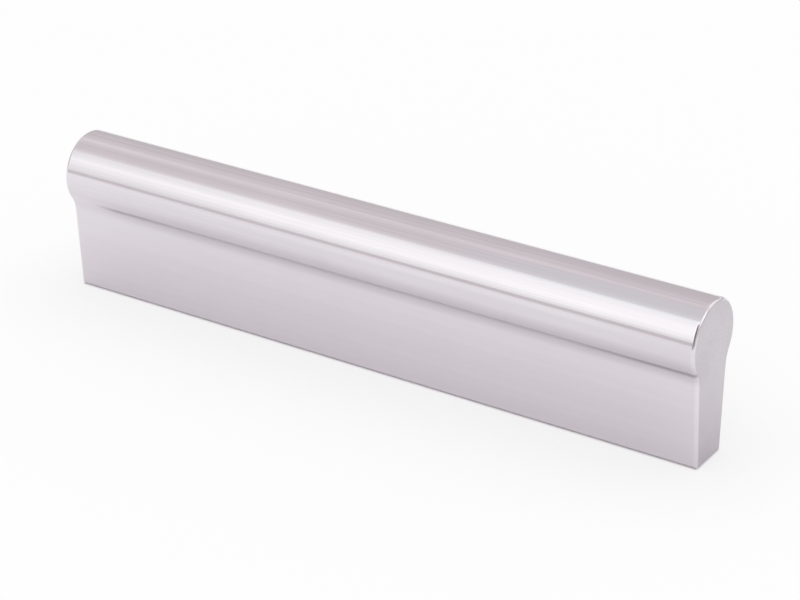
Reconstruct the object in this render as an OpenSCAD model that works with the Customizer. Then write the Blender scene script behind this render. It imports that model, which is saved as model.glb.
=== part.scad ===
// Furniture pull handle: one solid aluminium bar with a round grip along its top, a hollow
// neck on each side under the grip, and a web that narrows down to the mounting face.
// X runs along the handle, Y across it and Z up from the mounting face.
//
// The bar is drawn standing on its end, with x across the handle, y up from the mounting face
// and z along it. Half of its lengthwise outline, a strip with its two outer corners rounded,
// is carried round the grip, back round the neck and down the side of the web. Each sweep
// starts in the frame where the last one ends, so the stretches meet in a smooth line and the
// rounding follows the whole outline of both ends.

/* [Fixing holes] */
// Distance between the two screw holes
hole_spacing = 128; // [64:32:320]
// Distance from each screw hole to its end of the handle
end_margin = 4; // [3.5:0.5:30]
// Core diameter of the tapped holes
thread_core_d = 3.3; // [2.5:0.1:4.2]
// Depth of the holes at their full diameter
hole_depth = 12; // [6:0.5:18]
// Depth of the chamfer that leads the screw into the hole
hole_chamfer = 0.5; // [0.2:0.1:0.8]
// Angle across the tip of the drill that makes the holes
drill_tip_angle = 118; // [90:1:140]

/* [Section] */
// Height from the mounting face to the top of the grip
handle_height = 31; // [26:0.5:45]
// Diameter of the round grip
grip_d = 15; // [13.5:0.5:20]
// Radius of the hollow neck between grip and web
neck_r = 5.5; // [2:0.5:9]
// Thickness of the web at the mounting face, before its edges are broken
base_w = 8.8; // [7.4:0.2:10.4]
// Lean of each side of the web, which makes the web thicker towards the grip
side_lean = 3.2; // [0:0.1:5]

/* [Edges] */
// Radius that rounds the outline of both ends
end_edge_r = 0.8; // [0.3:0.1:1.4]
// Radius of the handle's lower corners, seen from the front
foot_corner_r = 0.6; // [0.4:0.1:1.6]
// Width of the chamfer on the two long edges of the mounting face
base_chamfer = 0.5; // [0.2:0.1:1]

/* [Hidden] */
$fn = 96;
// What a cutting solid passes its target by
over = 1;

handle_length = hole_spacing + 2 * end_margin;
grip_r = grip_d / 2;
grip_z = handle_height - grip_r;

// The neck's centre lies neck_r outside the web's side and touches the grip from outside,
// which fixes the turn that the neck makes between the two
grip_to_side = base_w / 2 * cos(side_lean) + grip_z * sin(side_lean);
grip_to_neck = grip_r + neck_r;
neck_turn = acos((grip_to_side + neck_r) / grip_to_neck);
neck_bearing = -(neck_turn + side_lean);
// Each neck is swept from both of its ends, and the two sweeps overlap halfway
neck_sweep = 0.6 * neck_turn;

// Quarter of a disc in the first quadrant
module quarter_disc(r) {
    intersection() {
        circle(r = r);
        square(r);
    }
}

// Half of the handle's outline seen from above: from x = 0 to grip_r, its outer corners rounded
module grip_strip() {
    half_length = handle_length / 2;
    inner_w = grip_r - end_edge_r;
    translate([0, -half_length])
        square([inner_w, handle_length]);
    translate([inner_w, end_edge_r - half_length])
        square([end_edge_r, handle_length - 2 * end_edge_r]);
    for (end = [0, 1]) {
        mirror([0, end])
            translate([inner_w, half_length - end_edge_r])
                quarter_disc(end_edge_r);
    }
}

// The same strip turned about, so that its rounded corners face an axis neck_r away
module neck_strip() {
    translate([neck_r + grip_r, 0])
        mirror([1, 0])
            grip_strip();
}

// Half of the neck, swept from the x direction through a positive turn
module neck_half() {
    rotate_extrude(angle = neck_sweep)
        neck_strip();
}

// Flat side of the web, run upwards along y
module web_side() {
    rotate([-90, 0, 0])
        linear_extrude(height = handle_height)
            neck_strip();
}

// Neck and side on the right of the bar, each in the frame where the last one ends
module right_neck_and_side() {
    translate([0, grip_z, 0])
        rotate([0, 0, neck_bearing])
            translate([grip_to_neck, 0, 0])
                rotate([0, 0, 180]) {
                    neck_half();
                    rotate([0, 0, neck_turn]) {
                        mirror([0, 1, 0])
                            neck_half();
                        web_side();
                    }
                }
}

// Outline of the handle seen from the front, its two lower corners rounded
module front_outline() {
    half_length = handle_length / 2;
    translate([-half_length, foot_corner_r])
        square([handle_length, handle_height]);
    translate([foot_corner_r - half_length, 0])
        square([handle_length - 2 * foot_corner_r, handle_height]);
    for (end = [0, 1]) {
        mirror([end, 0])
            translate([half_length - foot_corner_r, foot_corner_r])
                mirror([0, 1])
                    quarter_disc(foot_corner_r);
    }
}

// Right half of the bar under the grip, cut to the front outline and to its chamfered edge
module right_half() {
    chamfer_cut = base_chamfer * sqrt(2);
    difference() {
        intersection() {
            right_neck_and_side();
            rotate([0, 90, 0])
                linear_extrude(height = handle_height)
                    front_outline();
        }
        translate([base_w / 2, 0, 0])
            rotate([0, 0, 45])
                cube([chamfer_cut, chamfer_cut, handle_length + 2 * over], center = true);
    }
}

// The whole bar, standing on its end
module bar() {
    translate([0, grip_z, 0])
        rotate([0, 0, -90])
            rotate_extrude()
                grip_strip();
    for (side = [0, 1]) {
        mirror([side, 0, 0])
            right_half();
    }
}

// Blind tapped hole with its lead-in chamfer and the cone that the drill leaves
module screw_hole() {
    core_r = thread_core_d / 2;
    mouth_r = core_r + hole_chamfer;
    tip_h = core_r / tan(drill_tip_angle / 2);
    translate([0, 0, -over])
        cylinder(h = hole_depth + over, r = core_r);
    translate([0, 0, -over])
        cylinder(h = hole_chamfer + over, r1 = mouth_r + over, r2 = core_r);
    translate([0, 0, hole_depth])
        cylinder(h = tip_h, r1 = core_r, r2 = 0);
}

module pull_handle() {
    color("silver")
        difference() {
            rotate([90, 0, 90])
                bar();
            for (end = [-1, 1]) {
                translate([end * hole_spacing / 2, 0, 0])
                    screw_hole();
            }
        }
}

pull_handle();
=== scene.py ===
from math import cos, pi, radians, sin, sqrt, tan

import bpy
import numpy as np
from mathutils import Matrix, Vector


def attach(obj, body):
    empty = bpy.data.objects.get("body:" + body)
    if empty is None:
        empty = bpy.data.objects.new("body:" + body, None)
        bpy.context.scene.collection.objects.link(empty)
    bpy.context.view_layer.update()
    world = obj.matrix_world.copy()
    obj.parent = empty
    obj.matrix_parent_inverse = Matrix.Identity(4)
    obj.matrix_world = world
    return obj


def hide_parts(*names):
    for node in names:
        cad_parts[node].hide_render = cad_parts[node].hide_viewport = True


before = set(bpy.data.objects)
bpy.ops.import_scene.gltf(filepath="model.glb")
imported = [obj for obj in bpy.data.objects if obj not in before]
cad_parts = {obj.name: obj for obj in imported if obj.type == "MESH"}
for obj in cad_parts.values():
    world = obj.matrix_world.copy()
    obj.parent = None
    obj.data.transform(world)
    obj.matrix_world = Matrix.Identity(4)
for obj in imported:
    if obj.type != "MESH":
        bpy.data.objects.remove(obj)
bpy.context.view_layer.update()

mm = 0.001


# Surfaces. Each is a grid of points with the normal at each point; all the grids of a piece are
# welded into one closed mesh, and the normals stay as they were worked out.

class Skin:

    def __init__(self):
        self.corners, self.normals = [], []

    # Adds the quads between neighbouring points of a grid, each turned to agree with its normals
    def addGrid(self, points, normals):
        normals = np.broadcast_to(normals, points.shape)
        quads, sides = [
            np.stack([a[:-1, :-1], a[1:, :-1], a[1:, 1:], a[:-1, 1:]], axis=2).reshape(-1, 4, 3)
            for a in (points, normals)]
        facing = np.cross(quads[:, 2] - quads[:, 0], quads[:, 3] - quads[:, 1])
        wrong = (facing * sides.sum(axis=1)).sum(axis=1) < 0
        quads[wrong], sides[wrong] = quads[wrong, ::-1], sides[wrong, ::-1]
        self.corners.append(quads)
        self.normals.append(sides)

    # Points closer than weldStep become one, and a side of a quad that shrinks to a point is dropped
    def finishMesh(self, name, weldStep=1e-8):
        corners, normals = np.concatenate(self.corners), np.concatenate(self.normals)
        steps = np.round(corners.reshape(-1, 3) / weldStep).astype(np.int64)
        _, first, index = np.unique(steps, axis=0, return_index=True, return_inverse=True)
        index = index.reshape(-1, 4)
        kept = index != np.roll(index, -1, axis=1)
        kept &= (kept.sum(axis=1) > 2)[:, None]
        perFace = kept.sum(axis=1)
        perFace = perFace[perFace > 0]
        mesh = bpy.data.meshes.new(name)
        mesh.vertices.add(len(first))
        mesh.vertices.foreach_set("co", corners.reshape(-1, 3)[first].ravel())
        mesh.loops.add(int(kept.sum()))
        mesh.loops.foreach_set("vertex_index", index[kept].astype(np.int32))
        mesh.polygons.add(len(perFace))
        starts = np.concatenate([[0], np.cumsum(perFace)[:-1]])
        mesh.polygons.foreach_set("loop_start", starts.astype(np.int32))
        mesh.update(calc_edges=True)
        if mesh.validate():
            print("warning: the mesh", name, "had faults")
        mesh.shade_smooth()
        mesh.normals_split_custom_set(normals[kept])
        piece = bpy.data.objects.new(name, mesh)
        bpy.context.scene.collection.objects.link(piece)
        return piece


# Section of the bar, and how it runs from end to end

handle = {
    "length": 136 * mm,
    "height": 31 * mm,
    "gripRadius": 7.5 * mm,
    "neckRadius": 5.5 * mm,
    "footHalfWidth": 4.4 * mm,
    "sideLean": radians(3.2),       # each side leans out this much towards the grip
    "endEdge": 0.8 * mm,            # rounds the whole outline of both ends
    "footCorner": 0.6 * mm,         # rounds the two lower corners, seen from the front
    "footChamfer": 0.5 * mm,
    "gripSteps": 54,
    "neckSteps": 12,
    "sideSteps": 8,
    "edgeSteps": 12,
    "cornerSteps": 6,
    "middleSteps": 48,
}

tappedHole = {
    "spacing": 128 * mm,
    "coreRadius": 1.65 * mm,
    "threadDepth": 0.379 * mm,
    "pitch": 0.7 * mm,
    "threadEnd": 11.6 * mm,         # the last turns fade out over the run-out before this depth
    "runOut": 1.1 * mm,
    "depth": 12 * mm,
    "mouthChamfer": 0.5 * mm,
    "tipAngle": radians(118),
    "sideSteps": 24,                # quads along each side of the square of the foot round a hole
    "ringSteps": 6,
    "ringEase": 1.4,                # above 1, the rings lie closer together near the mouth
    "tipSteps": 4,
    "patchHalfLength": 2.6 * mm,
}

# Shortest length that a normal is divided by
tiny = 1e-15


# Right half of the section, drawn in by an inset: foot corner, chamfer, leaning side, neck arc,
# grip arc. The neck is an arc of radius neckRadius + inset round a centre outside the bar that
# touches the side and the grip, so its points are that centre less the radius along the normal.
# The foot rises by a lift of its own. Gives y, z and the normal for each inset (rows) and each
# step (columns), strip by strip.
def sectionStrips(inset, lift):
    h = handle
    inset, lift = inset[:, None], lift[:, None]
    lean, gripRadius, neckRadius = h["sideLean"], h["gripRadius"], h["neckRadius"]
    gripHeight = h["height"] - gripRadius
    toSide = h["footHalfWidth"] * cos(lean) + gripHeight * sin(lean) + neckRadius
    toNeck = gripRadius + neckRadius
    neckBearing = -(np.arccos(toSide / toNeck) + lean)
    neckY, neckZ = toNeck * cos(neckBearing), gripHeight + toNeck * sin(neckBearing)

    # The side leans out from the foot by the tangent of its lean
    def sideY(z):
        return h["footHalfWidth"] + z * tan(lean) - inset / cos(lean)

    # Even shares of a stretch, from 0 to 1
    def share(steps):
        return np.linspace(0, 1, steps + 1)[None, :]

    cutY = h["footHalfWidth"] - h["footChamfer"]
    cutTop = (h["footChamfer"] - inset / cos(lean)) / (1 - tan(lean))
    lowZ = lift
    lowY = np.minimum(lift + cutY, sideY(lift))
    topZ = np.maximum(cutTop, lift)
    topY = sideY(topZ)
    touchY = neckY - (neckRadius + inset) * cos(lean)
    touchZ = neckZ + (neckRadius + inset) * sin(lean)

    chamferY, chamferZ = lowY + (topY - lowY) * share(1), lowZ + (topZ - lowZ) * share(1)
    webY = topY + (touchY - topY) * share(h["sideSteps"])
    webZ = topZ + (touchZ - topZ) * share(h["sideSteps"])
    neckAngle = -lean + (neckBearing + lean) * share(h["neckSteps"])
    gripAngle = neckBearing + (pi / 2 - neckBearing) * share(h["gripSteps"])
    neckInset, gripInset = neckRadius + inset, gripRadius - inset
    neck = [neckY - neckInset * np.cos(neckAngle), neckZ - neckInset * np.sin(neckAngle)]
    grip = [gripInset * np.cos(gripAngle), gripHeight + gripInset * np.sin(gripAngle)]
    even = np.ones_like(inset)
    half = sqrt(0.5)
    return {
        "chamfer": (chamferY, chamferZ, half * even + 0 * chamferY, -half * even + 0 * chamferY),
        "web": (webY, webZ, cos(lean) + 0 * webY, -sin(lean) + 0 * webY),
        "neck": (*neck, np.cos(neckAngle) * even, np.sin(neckAngle) * even),
        "grip": (*grip, np.cos(gripAngle) * even, np.sin(gripAngle) * even),
    }


# Stations along the bar, as x: even steps between the squares with the holes, the squares' own
# steps across each of them, and steps of equal angle round the quarter circle of each end.
def stationsAlong():
    h, t = handle, tappedHole
    half, patch = h["length"] / 2, t["patchHalfLength"]
    patchStart, patchEnd = t["spacing"] / 2 - patch, t["spacing"] / 2 + patch
    near = np.linspace(patchStart, patchEnd, t["sideSteps"] + 1)
    middle = np.linspace(-patchStart, patchStart, h["middleSteps"] + 1)
    quarter = np.linspace(0, pi / 2, h["edgeSteps"] + 1)
    outer = np.linspace(patchEnd, half - h["endEdge"], h["cornerSteps"] + 1)
    rightX = np.concatenate([near[1:], outer[1:], half - h["endEdge"] * (1 - np.sin(quarter[1:]))])
    return np.concatenate([-rightX[::-1], middle, rightX])


# How far a rounding turns its normal towards the end: the sine of the turn is how far x has come
# into the rounding, as a share of its radius.
def turnTowardsEnd(x, radius):
    into = np.clip((np.abs(x) - handle["length"] / 2) / radius + 1, 0, 1)
    return np.sign(x) * np.arcsin(into)


# Thread of the hole as a radius over height: a flat at the core for a quarter of the pitch, a
# flank, an eighth of the pitch at full depth, and the flank back. The rows of the grid climb with
# the helix, so every row stays on one line of the thread; rows past either end lie on its rim.
def addTappedHole(skin, centreX):
    t = tappedHole
    sides = 4 * t["sideSteps"]
    coreRadius, pitch = t["coreRadius"], t["pitch"]
    mouthRadius = coreRadius + t["mouthChamfer"]
    angle = np.arange(-1, sides + 2) * 2 * pi / sides
    lines = np.array([0, 1 / 4, 9 / 16, 11 / 16, 1])
    depths = np.array([0, 0, 1, 1, 0]) * t["threadDepth"]
    rows = np.sort(np.concatenate([lines[:-1], (lines[:-1] + lines[1:]) / 2]))
    turns = int(np.ceil(t["threadEnd"] / pitch)) + 2
    climb = (np.arange(-1, turns)[:, None] + rows).ravel()[:, None]
    z = np.clip((climb + angle / (2 * pi)) * pitch, 0, t["threadEnd"])
    fade = np.clip((t["threadEnd"] - z) / t["runOut"], 0, 1)
    radius = coreRadius + np.interp(climb % 1, lines, depths) * fade
    radius = np.maximum(radius, mouthRadius - z)

    tipHeight = coreRadius / tan(t["tipAngle"] / 2)
    tip = np.linspace(0, 1, t["tipSteps"] + 1)[:, None]
    lowerZ = np.concatenate([[[t["threadEnd"]]], t["depth"] + tip * tipHeight]) + 0 * angle
    lowerRadius = np.concatenate([[[coreRadius]], coreRadius * (1 - tip)]) + 0 * angle

    # The normal of each quad is averaged with its neighbours round the hole, not up and down it,
    # so the lines of the thread stay sharp.
    for rowZ, rowRadius in ((z, radius), (lowerZ, lowerRadius)):
        points = np.stack([centreX + rowRadius * np.cos(angle), rowRadius * np.sin(angle), rowZ], axis=2)
        across = points[1:, :-1] - points[:-1, 1:]
        along = points[1:, 1:] - points[:-1, :-1]
        facing = np.cross(along, across)
        facing /= np.maximum(np.linalg.norm(facing, axis=2, keepdims=True), tiny)
        inward = np.stack([-np.cos(angle), -np.sin(angle), 0 * angle], axis=1)
        facing *= np.where((facing * inward[None, :-1]).sum(axis=2, keepdims=True) < 0, -1, 1)
        blend = facing[:, :-1] + facing[:, 1:]
        blend /= np.maximum(np.linalg.norm(blend, axis=2, keepdims=True), tiny)
        for row in range(len(blend)):
            skin.addGrid(points[row:row + 2, 1:-1], np.stack([blend[row]] * 2))

    # Foot round the hole: rings that run from the square of the foot in to the mouth's circle
    share = np.arange(t["sideSteps"]) / t["sideSteps"] * 2 - 1
    one = np.ones_like(share)
    squareX = np.concatenate([-share, -one, share, one])
    squareY = np.concatenate([one, -share, -one, share])
    squareX, squareY = np.append(squareX, squareX[0]), np.append(squareY, squareY[0])
    around = pi / 4 + np.arange(sides + 1) * 2 * pi / sides
    outwards = (np.linspace(0, 1, t["ringSteps"] + 1) ** t["ringEase"])[:, None]
    footHalf = handle["footHalfWidth"] - handle["footChamfer"]
    mouthShare = (1 - outwards) * mouthRadius
    ringX = centreX + mouthShare * np.cos(around) + outwards * t["patchHalfLength"] * squareX
    ringY = mouthShare * np.sin(around) + outwards * footHalf * squareY
    skin.addGrid(np.stack([ringX, ringY, 0 * ringX], axis=2), np.array([0, 0, -1.0]))


# The section is carried along the stations and drawn in towards each end by an inset, which is the
# radius times one less the cosine of the turn there; the normal turns towards the end as far
def buildHandle():
    h, t = handle, tappedHole
    skin = Skin()
    x = stationsAlong()
    turn, footTurn = turnTowardsEnd(x, h["endEdge"]), turnTowardsEnd(x, h["footCorner"])
    strips = sectionStrips(h["endEdge"] * (1 - np.cos(turn)), h["footCorner"] * (1 - np.cos(footTurn)))
    across = np.linspace(-1, 1, t["sideSteps"] + 1)

    # Chamfer, side, neck and grip, on the right and mirrored on the left
    for name, (y, z, ny, nz) in strips.items():
        bend = 0 * turn if name == "chamfer" else turn
        points = np.stack([x[:, None] + 0 * y, y, z], axis=2)
        normals = np.stack([np.sin(bend)[:, None] + 0 * y, ny * np.cos(bend)[:, None],
                            nz * np.cos(bend)[:, None]], axis=2)
        for side in (1, -1):
            skin.addGrid(points * [1, side, 1], normals * [1, side, 1])

    # Foot: flat between the two squares with the holes, rounded up at both ends
    lowY, lowZ = strips["chamfer"][0][:, 0], strips["chamfer"][1][:, 0]
    foot = np.stack([x[:, None] + 0 * across, lowY[:, None] * across, lowZ[:, None] + 0 * across],
                    axis=2)
    footNormals = np.stack([np.sin(footTurn), 0 * footTurn, -np.cos(footTurn)], axis=1)
    footNormals = footNormals[:, None, :] + 0 * foot
    ends = h["edgeSteps"] + h["cornerSteps"] + 1
    inner = h["edgeSteps"] + h["cornerSteps"] + t["sideSteps"]
    for part in (slice(0, ends), slice(inner, len(x) - inner), slice(len(x) - ends, len(x))):
        skin.addGrid(foot[part], footNormals[part])

    # End faces: the section at full inset, filled with level lines from side to side
    outlineY = np.concatenate([strips[name][0][0] for name in strips])
    outlineZ = np.concatenate([strips[name][1][0] for name in strips])
    for side in (1, -1):
        face = np.stack([side * h["length"] / 2 + 0 * outlineY[:, None] * across,
                         outlineY[:, None] * across, outlineZ[:, None] + 0 * across], axis=2)
        skin.addGrid(face, np.array([side, 0.0, 0.0]))
        addTappedHole(skin, side * t["spacing"] / 2)
    return skin.finishMesh("handle_bar")


handleBar = buildHandle()
print("stage 2: the bar has", len(handleBar.data.polygons), "faces")


# Shader maths. A Wire is one output of a node; arithmetic on it adds the Math node.

class Wire:

    def __init__(self, tree, socket=None):
        self.tree, self.socket = tree, socket

    # Adds a node: its settings first, then the values and links of its sockets
    def node(self, kind, settings=None, sockets=None, output=0):
        made = self.tree.nodes.new(kind)
        for name, value in (settings or {}).items():
            setattr(made, name, value)
        for name, value in (sockets or {}).items():
            if isinstance(value, Wire):
                self.tree.links.new(value.socket, made.inputs[name])
            else:
                made.inputs[name].default_value = value
        return Wire(self.tree, made.outputs[output] if len(made.outputs) else None)

    # One Math node on wires or plain values
    def maths(self, operation, *values):
        return self.node("ShaderNodeMath", {"operation": operation}, dict(enumerate(values)))

    # The same with this wire as the first value
    def math(self, operation, *others):
        return self.maths(operation, self, *others)

    def __add__(self, other): return self.maths("ADD", self, other)
    def __radd__(self, other): return self.maths("ADD", other, self)
    def __sub__(self, other): return self.maths("SUBTRACT", self, other)
    def __rsub__(self, other): return self.maths("SUBTRACT", other, self)
    def __mul__(self, other): return self.maths("MULTIPLY", self, other)
    def __rmul__(self, other): return self.maths("MULTIPLY", other, self)
    def __abs__(self): return self.maths("ABSOLUTE", self)

    # 0 below low, 1 above high and a smooth rise between them
    def rise(self, low, high):
        return self.node("ShaderNodeMapRange", {"interpolation_type": "SMOOTHSTEP"},
                         {"Value": self, "From Min": low, "From Max": high})

    # Noise stretched along the axes: repeats per metre along x, y and z
    def noise(self, place, repeats, detail=2.0, rough=0.6):
        stretched = self.node("ShaderNodeVectorMath", {"operation": "MULTIPLY"}, {0: place, 1: repeats})
        return self.node("ShaderNodeTexNoise", {},
                         {"Vector": stretched, "Scale": 1.0, "Detail": detail, "Roughness": rough})

    # The first colour at share 0 and the second at share 1
    def blend(self, share, first, second):
        return self.node("ShaderNodeMix", {"data_type": "RGBA"}, {0: share, 6: first, 7: second}, 2)

    # Square root of the sum of the two squares
    def hypotenuse(self, other):
        return (self * self + other * other).math("SQRT")

    # The x, y and z of a vector
    def parts(self, vector):
        split = self.node("ShaderNodeSeparateXYZ", {}, {0: vector}).socket.node
        return [Wire(self.tree, split.outputs[axis]) for axis in range(3)]

    # Named outputs of Light Path, each 1 for a ray of that kind
    def lightPath(self, *names):
        outputs = self.node("ShaderNodeLightPath").socket.node.outputs
        return [Wire(self.tree, outputs[name]) for name in names]


# Empties the node tree of a material or world and gives a wire to build on
def newSheet(owner):
    owner.use_nodes = True
    owner.node_tree.nodes.clear()
    return Wire(owner.node_tree)


# Satin aluminium: drawn lengthwise, rubbed bright on the rounded ends, cut across on the end faces

aluminium = {
    "light": (0.790, 0.754, 0.790, 1.0),
    "dark": (0.732, 0.695, 0.733, 1.0),
    "rubbed": (0.830, 0.797, 0.822, 1.0),
    "paintedReflection": (0.752, 0.768, 0.818, 1.0),     # painted reflection: a bluish-grey band just above the highlight on the front of the grip, at the right
    "faced": (0.623, 0.588, 0.624, 1.0),    # the end faces, cut and sanded flat
    "facedDark": (0.574, 0.541, 0.577, 1.0),
    "holeOilAndShade": (0.640, 0.612, 0.632, 1.0),    # the holes: darker for oil, and painted shade in the recess
    "paintedCreaseShade": (0.425, 0.383, 0.433, 1.0),     # painted shade in the crease where grip and neck meet

    # Noises: how often each repeats per metre along x, y and z, and the span of it that is used
    "drawRepeats": (5.0, 900.0, 900.0),      # draw lines, which run the whole bar
    "streakRepeats": (9.0, 2300.0, 2300.0),  # closer lines on the top of the grip
    "grainRepeats": (90.0, 5200.0, 5200.0),
    "cloudRepeats": (70.0, 140.0, 140.0),    # the uneven hand of the finish
    "sandingRepeats": (0.0, 220.0, 4200.0),  # level lines on the end faces
    "toneSpan": (0.30, 0.70),
    "streakSpan": (0.36, 0.64),
    "sandedSpan": (0.32, 0.68),
    "wearSpan": (0.30, 0.62),

    # Tone, from dark to light
    "drawShare": 0.7,               # the rest of it is clouds
    "webTone": 0.4,                 # share of it left on the web
    "streakTone": 0.75,
    "rightPaintedShade": 0.5,               # painted shade: how far it sinks towards the right end
    "sandedShare": 0.25,            # of the end faces' own tone, and the rest of that is clouds

    # Each mask fades from its first value to its second
    "gripHeight": (17 * mm, 22 * mm),
    "topHeight": (21 * mm, 27 * mm),
    "facedDepth": (0.02 * mm, 0.14 * mm),       # distances in from the end
    "rubbedFrom": (0.05 * mm, 0.25 * mm),
    "rubbedTo": (0.55 * mm, 1.0 * mm),
    "footEdgeHeight": (0.45 * mm, 0.7 * mm),
    "boredReach": (2.1 * mm, 2.3 * mm),         # distance from the hole's axis
    "boredHeight": (13.2 * mm, 13.4 * mm),
    "rightShadeAlong": (30 * mm, 66 * mm),            # x of the painted shade towards the right end
    "paintedReflectionFrom": (2.6 * mm, 3.6 * mm),           # distances in front of the bar's middle, for the band of painted reflection
    "paintedReflectionTo": (4.8 * mm, 5.6 * mm),
    "paintedReflectionAlong": (5 * mm, 50 * mm),             # x
    "creasePlace": (6.08 * mm, 19.10 * mm),       # y and z of the line where grip and neck meet
    "creaseShadeReach": 0.85 * mm,
    "veilReach": 3.0 * mm,
    "creaseShadeDeepens": (40 * mm, 62 * mm),          # distance from the bar's middle
    "creaseShadeAlong": (-63 * mm, -56 * mm),          # x

    # How strongly a mask shows
    # Painted shade in the crease: its core, more of it towards both ends, and its veil
    "creaseShadeShare": 0.30,
    "creaseShadeEndShare": 0.45,           # added towards both ends
    "veilShare": 0.16,
    "paintedReflectionShare": 0.85,
    "rubbedShare": 0.5,
    "footWear": 0.6,

    # Roughness, and what each adds to it
    "roughness": 0.15,
    "grainRough": 0.05,
    "cloudRough": 0.06,
    "toneRough": -0.03,
    "wearRough": -0.03,
    "cutRough": 0.12,               # end faces and holes

    # Heights of the relief
    "drawDepth": 3.6e-6,
    "streakDepth": 1.6e-6,
    "grainDepth": 1.0e-6,
    "sandingDepth": 0.4e-6,
}


# Tone is a half, plus draw lines and clouds, stronger on the grip, plus streaks on its top, less painted
# shade towards the right end. Other colours are laid over it by masks, each a product of rises and falls
# of a distance; among them are painted shade in the crease and in the holes, and a band of painted
# reflection. The relief is lines and grain times their depths, and sanding on the ends.
def buildAluminium():
    a, h, t = aluminium, handle, tappedHole
    material = bpy.data.materials.new("satinAluminium")
    sheet = newSheet(material)
    place = sheet.node("ShaderNodeTexCoord", output="Object")
    x, y, z = sheet.parts(place)

    drawLines = sheet.noise(place, a["drawRepeats"], 3.0)
    streaks = sheet.noise(place, a["streakRepeats"])
    grain = sheet.noise(place, a["grainRepeats"])
    clouds = sheet.noise(place, a["cloudRepeats"], 3.0, 0.5)
    sanding = sheet.noise(place, a["sandingRepeats"])

    # Masks: end faces, the rounding of the ends, the foot's edges, and the holes
    fromEnd = h["length"] / 2 - abs(x)
    endFace = 1 - fromEnd.rise(*a["facedDepth"])
    rounding = fromEnd.rise(*a["rubbedFrom"]) * (1 - fromEnd.rise(*a["rubbedTo"]))
    footEdge = 1 - z.rise(*a["footEdgeHeight"])
    fromHole = (abs(x) - t["spacing"] / 2).hypotenuse(y)
    hole = (1 - fromHole.rise(*a["boredReach"])) * (1 - z.rise(*a["boredHeight"]))
    wear = (rounding + footEdge * a["footWear"]) * clouds.rise(*a["wearSpan"])
    onGrip, onTop = z.rise(*a["gripHeight"]), z.rise(*a["topHeight"])

    # Painted shade in the crease where grip and neck meet, a dark core in a faint veil, and the band of
    # painted reflection
    creaseY, creaseZ = a["creasePlace"]
    fromCrease = (abs(y) - creaseY).hypotenuse(z - creaseZ)
    core = 1 - fromCrease.rise(0.0, a["creaseShadeReach"])
    core = core * (a["creaseShadeShare"] + a["creaseShadeEndShare"] * abs(x).rise(*a["creaseShadeDeepens"]))
    veil = (1 - fromCrease.rise(0.0, a["veilReach"])) * a["veilShare"]
    paintedCreaseShade = (core + veil) * x.rise(*a["creaseShadeAlong"])
    front = 0.0 - y
    # Painted reflection: a bluish-grey band just above the highlight, growing towards the right end
    paintedReflection = front.rise(*a["paintedReflectionFrom"]) * (1 - front.rise(*a["paintedReflectionTo"])) * x.rise(*a["paintedReflectionAlong"])

    tone = (drawLines * a["drawShare"] + clouds * (1 - a["drawShare"])).rise(*a["toneSpan"]) - 0.5
    tone = tone * (onGrip * (1 - a["webTone"]) + a["webTone"])
    tone = tone + (streaks.rise(*a["streakSpan"]) - 0.5) * onTop * a["streakTone"] + 0.5
    # Painted shade: the grip darker towards the right end
    tone = tone - x.rise(*a["rightShadeAlong"]) * onGrip * a["rightPaintedShade"]
    sanded = (sanding * a["sandedShare"] + clouds * (1 - a["sandedShare"])).rise(*a["sandedSpan"])

    colour = sheet.blend(tone, a["dark"], a["light"])
    # painted shade in the crease
    colour = sheet.blend(paintedCreaseShade, colour, a["paintedCreaseShade"])
    # painted reflection above the highlight
    colour = sheet.blend(paintedReflection * onTop * a["paintedReflectionShare"], colour, a["paintedReflection"])
    colour = sheet.blend(wear * a["rubbedShare"], colour, a["rubbed"])
    colour = sheet.blend(endFace, colour, sheet.blend(sanded, a["facedDark"], a["faced"]))
    # holes: oil, and painted shade in the recess
    colour = sheet.blend(hole, colour, a["holeOilAndShade"])

    roughness = a["roughness"] + (grain - 0.5) * a["grainRough"] + (clouds - 0.5) * a["cloudRough"]
    roughness = roughness + tone * a["toneRough"] + endFace * a["cutRough"]
    roughness = roughness + wear * a["wearRough"] + hole * a["cutRough"]

    drawn = drawLines * a["drawDepth"] + streaks * onTop * a["streakDepth"] + grain * a["grainDepth"]
    height = drawn * (1 - endFace) * (1 - hole) + sanding * endFace * a["sandingDepth"]
    bump = sheet.node("ShaderNodeBump", {}, {"Strength": 1.0, "Distance": 1.0, "Height": height})
    shader = sheet.node("ShaderNodeBsdfPrincipled", {}, {
        "Base Color": colour, "Metallic": 1.0, "Roughness": roughness, "Normal": bump})
    sheet.node("ShaderNodeOutputMaterial", {}, {"Surface": shader})
    return material


handleBar.data.materials.append(buildAluminium())
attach(handleBar, "root")
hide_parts("pull_handle")
print("stage 3: the bar has its finish")


# Studio: white floor, white surroundings, and cards that run along the bar and show in the metal

studio = {
    "worldLevel": 0.93,             # plain light on anything matt
    "floorHalfSize": 3.0,
    "floorDrop": 0.02 * mm,
    "floorColour": (0.955, 0.942, 0.950, 1.0),
    "paintedShadowColour": (0.79, 0.745, 0.785, 1.0),    # painted shadow on the floor right round the foot
    "paintedShadowReach": 28 * mm,          # and how far out it turns plain again
    "contactReach": 0.9 * mm,       # no glow this close to the foot, so its contact shadow is kept
    "glowSeen": 0.72,               # share of plain white in the floor that the camera sees
    "glowMirrored": 0.20,           # the same in reflections
    "cardTint": (1.0, 0.948, 0.955, 1.0),       # of every card that names no tint of its own
}

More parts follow.
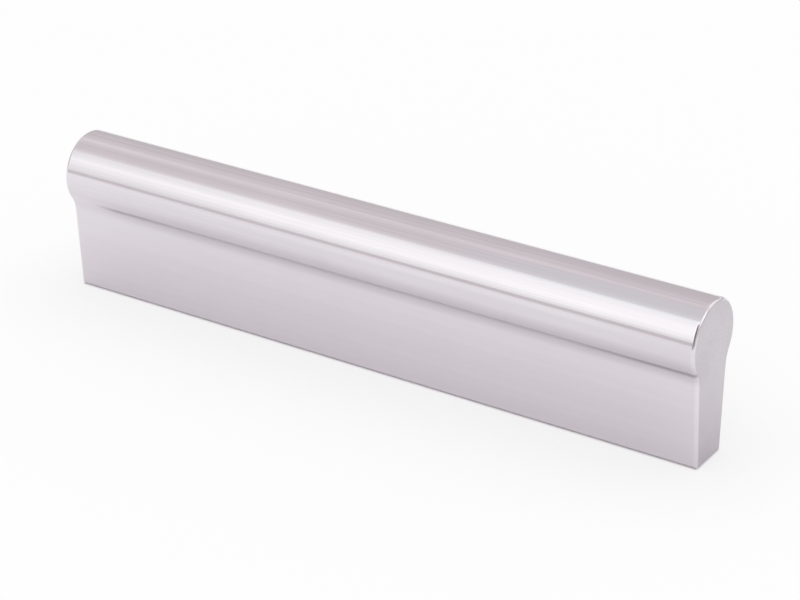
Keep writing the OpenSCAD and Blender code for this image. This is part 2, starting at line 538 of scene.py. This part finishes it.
# Each card is a flat sheet that spans part of one axis, between two lines given by their places on
# the other level axis and on z. Its three levels are its brightness at the first line, halfway and
# at the second; fall is a factor at the start and end of its span. A card that lightsMatt also
# lights the floor, and the others only show in the metal.
cards = {
    "softbox_front": {"axis": "x", "span": (-1.20, 0.45), "from": (-0.465, 0.997), "to": (-1.090, 0.245),
                      "levels": (1.22, 1.47, 1.24), "fall": (0.70, 1.10), "tint": (0.985, 1.0, 0.98, 1.0),
                      "lightsMatt": True},
    "softbox_back": {"axis": "x", "span": (-0.10, 1.30), "from": (0.465, 0.997), "to": (1.090, 0.245),
                     "levels": (1.02, 1.16, 1.02), "fall": (1.1, 0.8), "tint": (1.0, 1.0, 0.98, 1.0),
                     "lightsMatt": True},
    "card_over": {"axis": "x", "span": (-2.20, 2.20), "from": (-0.44, 1.02), "to": (0.47, 1.02),
                  "levels": (0.82, 0.73, 0.85), "fall": (1.12, 0.94)},
    "card_back_left": {"axis": "x", "span": (-2.20, -0.15), "from": (0.48, 1.02), "to": (1.20, 0.01),
                       "levels": (0.80, 0.69, 0.62)},
    "card_front_right": {"axis": "x", "span": (0.50, 2.20), "from": (-0.48, 1.02), "to": (-1.20, 0.01),
                         "levels": (0.80, 0.71, 0.66)},
    "card_low_front": {"axis": "x", "span": (-1.60, 1.60), "from": (-0.40, 0.006), "to": (-0.60, 0.088),
                       "levels": (0.76, 0.66, 0.60)},
    "card_low_back": {"axis": "x", "span": (-1.60, 1.60), "from": (0.60, 0.00), "to": (0.60, 0.075),
                      "levels": (0.5, 0.55, 0.6)},
    "card_left_end": {"axis": "y", "span": (-0.90, 0.90), "from": (-1.30, 0.02), "to": (-1.30, 0.60),
                      "levels": (0.95, 0.62, 0.75)},
    "card_right_end": {"axis": "y", "span": (-0.90, 0.90), "from": (1.30, 0.02), "to": (1.30, 0.60),
                       "levels": (0.95, 0.62, 0.75)},
    "softbox_right": {"axis": "y", "span": (-0.30, 0.44), "from": (0.74, 0.99), "to": (1.25, 0.50),
                      "levels": (1.36, 1.28, 1.15), "tint": (1.0, 0.98, 0.94, 1.0)},
    "card_back_middle": {"axis": "x", "span": (-0.15, 0.32), "from": (0.455, 0.985), "to": (1.07, 0.25),
                         "levels": (0.80, 0.69, 0.62)},
    "card_camera": {"axis": "x", "span": (0.09, 0.52), "from": (-0.45, 0.03), "to": (-0.45, 0.72),
                    "levels": (0.40, 0.20, 0.45)},
    "card_low_camera": {"axis": "x", "span": (0.06, 0.50), "from": (-0.12, 0.004), "to": (-0.45, 0.03),
                        "levels": (0.55, 0.42, 0.40)},
}


# One flat face through the given corners, for the floor and the cards
def sheetObject(name, points, material):
    mesh = bpy.data.meshes.new(name)
    mesh.from_pydata(points, [], [tuple(range(len(points)))])
    mesh.materials.append(material)
    made = bpy.data.objects.new(name, mesh)
    bpy.context.scene.collection.objects.link(made)
    return made


# The floor's colour rises from a painted shadow at the foot to the plain one with the distance from the
# foot, and a share of plain white is mixed in where the camera or a reflection looks at it
def buildFloor():
    s = studio
    material = bpy.data.materials.new("whiteFloor")
    sheet = newSheet(material)
    seen, glossy, through = sheet.lightPath("Is Camera Ray", "Is Glossy Ray", "Is Transmission Ray")
    x, y, z = sheet.parts(sheet.node("ShaderNodeTexCoord", output="Object"))
    offX = (abs(x) - (handle["length"] / 2 - handle["footCorner"])).math("MAXIMUM", 0.0)
    offY = (abs(y) - (handle["footHalfWidth"] - handle["footChamfer"])).math("MAXIMUM", 0.0)
    away = offX.hypotenuse(offY)
    # painted shadow round the foot
    plainness = away.rise(-0.5 * s["paintedShadowReach"], s["paintedShadowReach"])
    colour = sheet.blend(plainness, s["paintedShadowColour"], s["floorColour"])
    glow = seen * s["glowSeen"] + (glossy + through) * s["glowMirrored"]
    glow = glow * away.rise(0.0, s["contactReach"])
    matt = sheet.node("ShaderNodeBsdfDiffuse", {}, {"Color": colour})
    plain = sheet.node("ShaderNodeEmission", {}, {"Color": (1.0, 1.0, 1.0, 1.0), "Strength": 1.0})
    both = sheet.node("ShaderNodeMixShader", {}, {0: glow, 1: matt, 2: plain})
    sheet.node("ShaderNodeOutputMaterial", {}, {"Surface": both})
    r, low = s["floorHalfSize"], -s["floorDrop"]
    sheetObject("floor", [(-r, -r, low), (r, -r, low), (r, r, low), (-r, r, low)], material)


# White to the camera and in reflections, and worldLevel as the light on matt surfaces
def buildWorld():
    world = bpy.data.worlds.new("studio")
    bpy.context.scene.world = world
    sheet = newSheet(world)
    seen, glossy, through = sheet.lightPath("Is Camera Ray", "Is Glossy Ray", "Is Transmission Ray")
    white = (seen + glossy + through).math("MINIMUM", 1.0)
    level = studio["worldLevel"] + white * (1 - studio["worldLevel"])
    light = sheet.node("ShaderNodeBackground", {}, {"Color": (1.0, 1.0, 1.0, 1.0), "Strength": level})
    sheet.node("ShaderNodeOutputWorld", {}, {"Surface": light})


# A card's brightness runs on the parabola through its three levels, over the share of the way
# from its first line to its second
def buildCard(name):
    c = cards[name]
    (s0, z0), (s1, z1), (start, end) = c["from"], c["to"], c["span"]
    first, middle, last = c["levels"]
    startFall, endFall = c.get("fall", (1.0, 1.0))
    material = bpy.data.materials.new(name)
    sheet = newSheet(material)
    x, y, z = sheet.parts(sheet.node("ShaderNodeTexCoord", output="Object"))
    along, across = (x, y) if c["axis"] == "x" else (y, x)
    share = (across - s0) * (1 / (s1 - s0)) if s1 != s0 else (z - z0) * (1 / (z1 - z0))
    bend = 2 * (first + last - 2 * middle)
    level = share * (share * bend + (last - first - bend)) + first
    level = level * ((along - start) * ((endFall - startFall) / (end - start)) + startFall)
    glowing = sheet.node("ShaderNodeEmission", {}, {"Color": c.get("tint", studio["cardTint"]),
                                                    "Strength": level})
    sheet.node("ShaderNodeOutputMaterial", {}, {"Surface": glowing})
    corners = [(start, s0, z0), (end, s0, z0), (end, s1, z1), (start, s1, z1)]
    if c["axis"] == "y":
        corners = [(s, a, z) for a, s, z in corners]
    card = sheetObject(name, corners, material)
    card.visible_camera = card.visible_transmission = card.visible_shadow = False
    card.visible_diffuse = c.get("lightsMatt", False)


buildWorld()
buildFloor()
for cardName in cards:
    buildCard(cardName)
print("stage 4: the studio is lit")


# Camera, placed by the outline of the bar in the photograph

camera = {
    "target": (4.1207 * mm, 0.0, 13.8804 * mm),
    "azimuth": radians(33.3259),
    "elevation": radians(26.9291),
    "roll": radians(-0.5455),
    "distance": 487.70 * mm,
    "lens": 119.864,                # lens and sensor in millimetres
    "sensorWidth": 36.0,
    "clipStart": 10 * mm,
}


# The camera stands at its distance from the target, in the direction that azimuth and elevation
# give, and its right and up are turned about that direction by the roll
def buildCamera():
    c = camera
    az, el, roll = c["azimuth"], c["elevation"], c["roll"]
    back = Vector((sin(az) * cos(el), -cos(az) * cos(el), sin(el)))
    right = Vector((cos(az), sin(az), 0))
    up = back.cross(right)
    rolledRight = right * cos(roll) + up * sin(roll)
    rolledUp = up * cos(roll) - right * sin(roll)
    data = bpy.data.cameras.new("camera")
    data.sensor_width, data.lens, data.clip_start = c["sensorWidth"], c["lens"], c["clipStart"]
    made = bpy.data.objects.new("camera", data)
    turned = Matrix((rolledRight, rolledUp, back)).transposed().to_4x4()
    made.matrix_world = Matrix.Translation(Vector(c["target"]) + back * c["distance"]) @ turned
    bpy.context.scene.collection.objects.link(made)
    bpy.context.scene.camera = made


buildCamera()
bpy.context.scene.view_settings.view_transform = "Standard"
